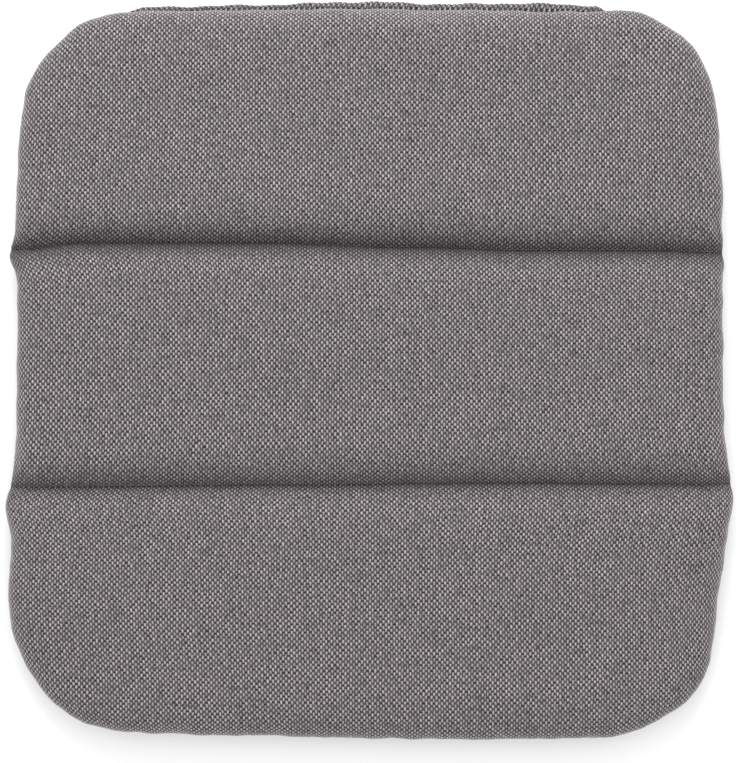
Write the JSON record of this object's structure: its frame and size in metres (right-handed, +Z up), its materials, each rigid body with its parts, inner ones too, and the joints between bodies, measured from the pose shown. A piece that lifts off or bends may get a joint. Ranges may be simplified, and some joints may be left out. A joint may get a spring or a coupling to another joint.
{
  "type": "chair seat pad",
  "caption": "Flat seat pad with rounded corners, a woven cover quilted across into padded channels, foldable along its quilting seams.",
  "frame": {"origin": "centre of the underside, on the surface the pad lies on", "axes": "+Z up through the pad, +Y towards the back edge with the closing lip, +X to the right when the back edge is away from the viewer"},
  "size_m": [0.417, 0.4284, 0.026],
  "materials": {
    "cover_cloth": "matte",
    "wadding": "matte",
    "foam": "matte",
    "thread": "matte"
  },
  "bodies": {
    "middle_section": {"top_field_middle": "cover_cloth", "bottom_field_middle": "cover_cloth", "upper_wadding_middle": "wadding", "lower_wadding_middle": "wadding", "foam_middle": "foam", "quilt_strip_back": "cover_cloth", "quilt_strip_front": "cover_cloth", "needle_thread_back": "thread", "needle_thread_front": "thread", "bobbin_thread_back": "thread", "bobbin_thread_front": "thread", "edge_thread_middle": "thread"},
    "back_section": {"top_field_back": "cover_cloth", "bottom_field_back": "cover_cloth", "upper_wadding_back": "wadding", "lower_wadding_back": "wadding", "foam_back": "foam", "edge_thread_back": "thread", "closing_lip": "cover_cloth", "closing_stitch": "thread"},
    "front_section": {"top_field_front": "cover_cloth", "bottom_field_front": "cover_cloth", "upper_wadding_front": "wadding", "lower_wadding_front": "wadding", "foam_front": "foam", "edge_thread_front": "thread"}
  },
  "joints": [
    {"name": "back_fold", "type": "hinge", "parent": "middle_section", "child": "back_section", "pos_m": [0, 0.07275, 0.0125], "axis": [1, 0, 0], "range_deg": [-50, 50], "stiffness_Nm_per_rad": 0.4},
    {"name": "front_fold", "type": "hinge", "parent": "middle_section", "child": "front_section", "pos_m": [0, -0.06525, 0.0125], "axis": [-1, 0, 0], "range_deg": [-50, 50], "stiffness_Nm_per_rad": 0.4}
  ]
}
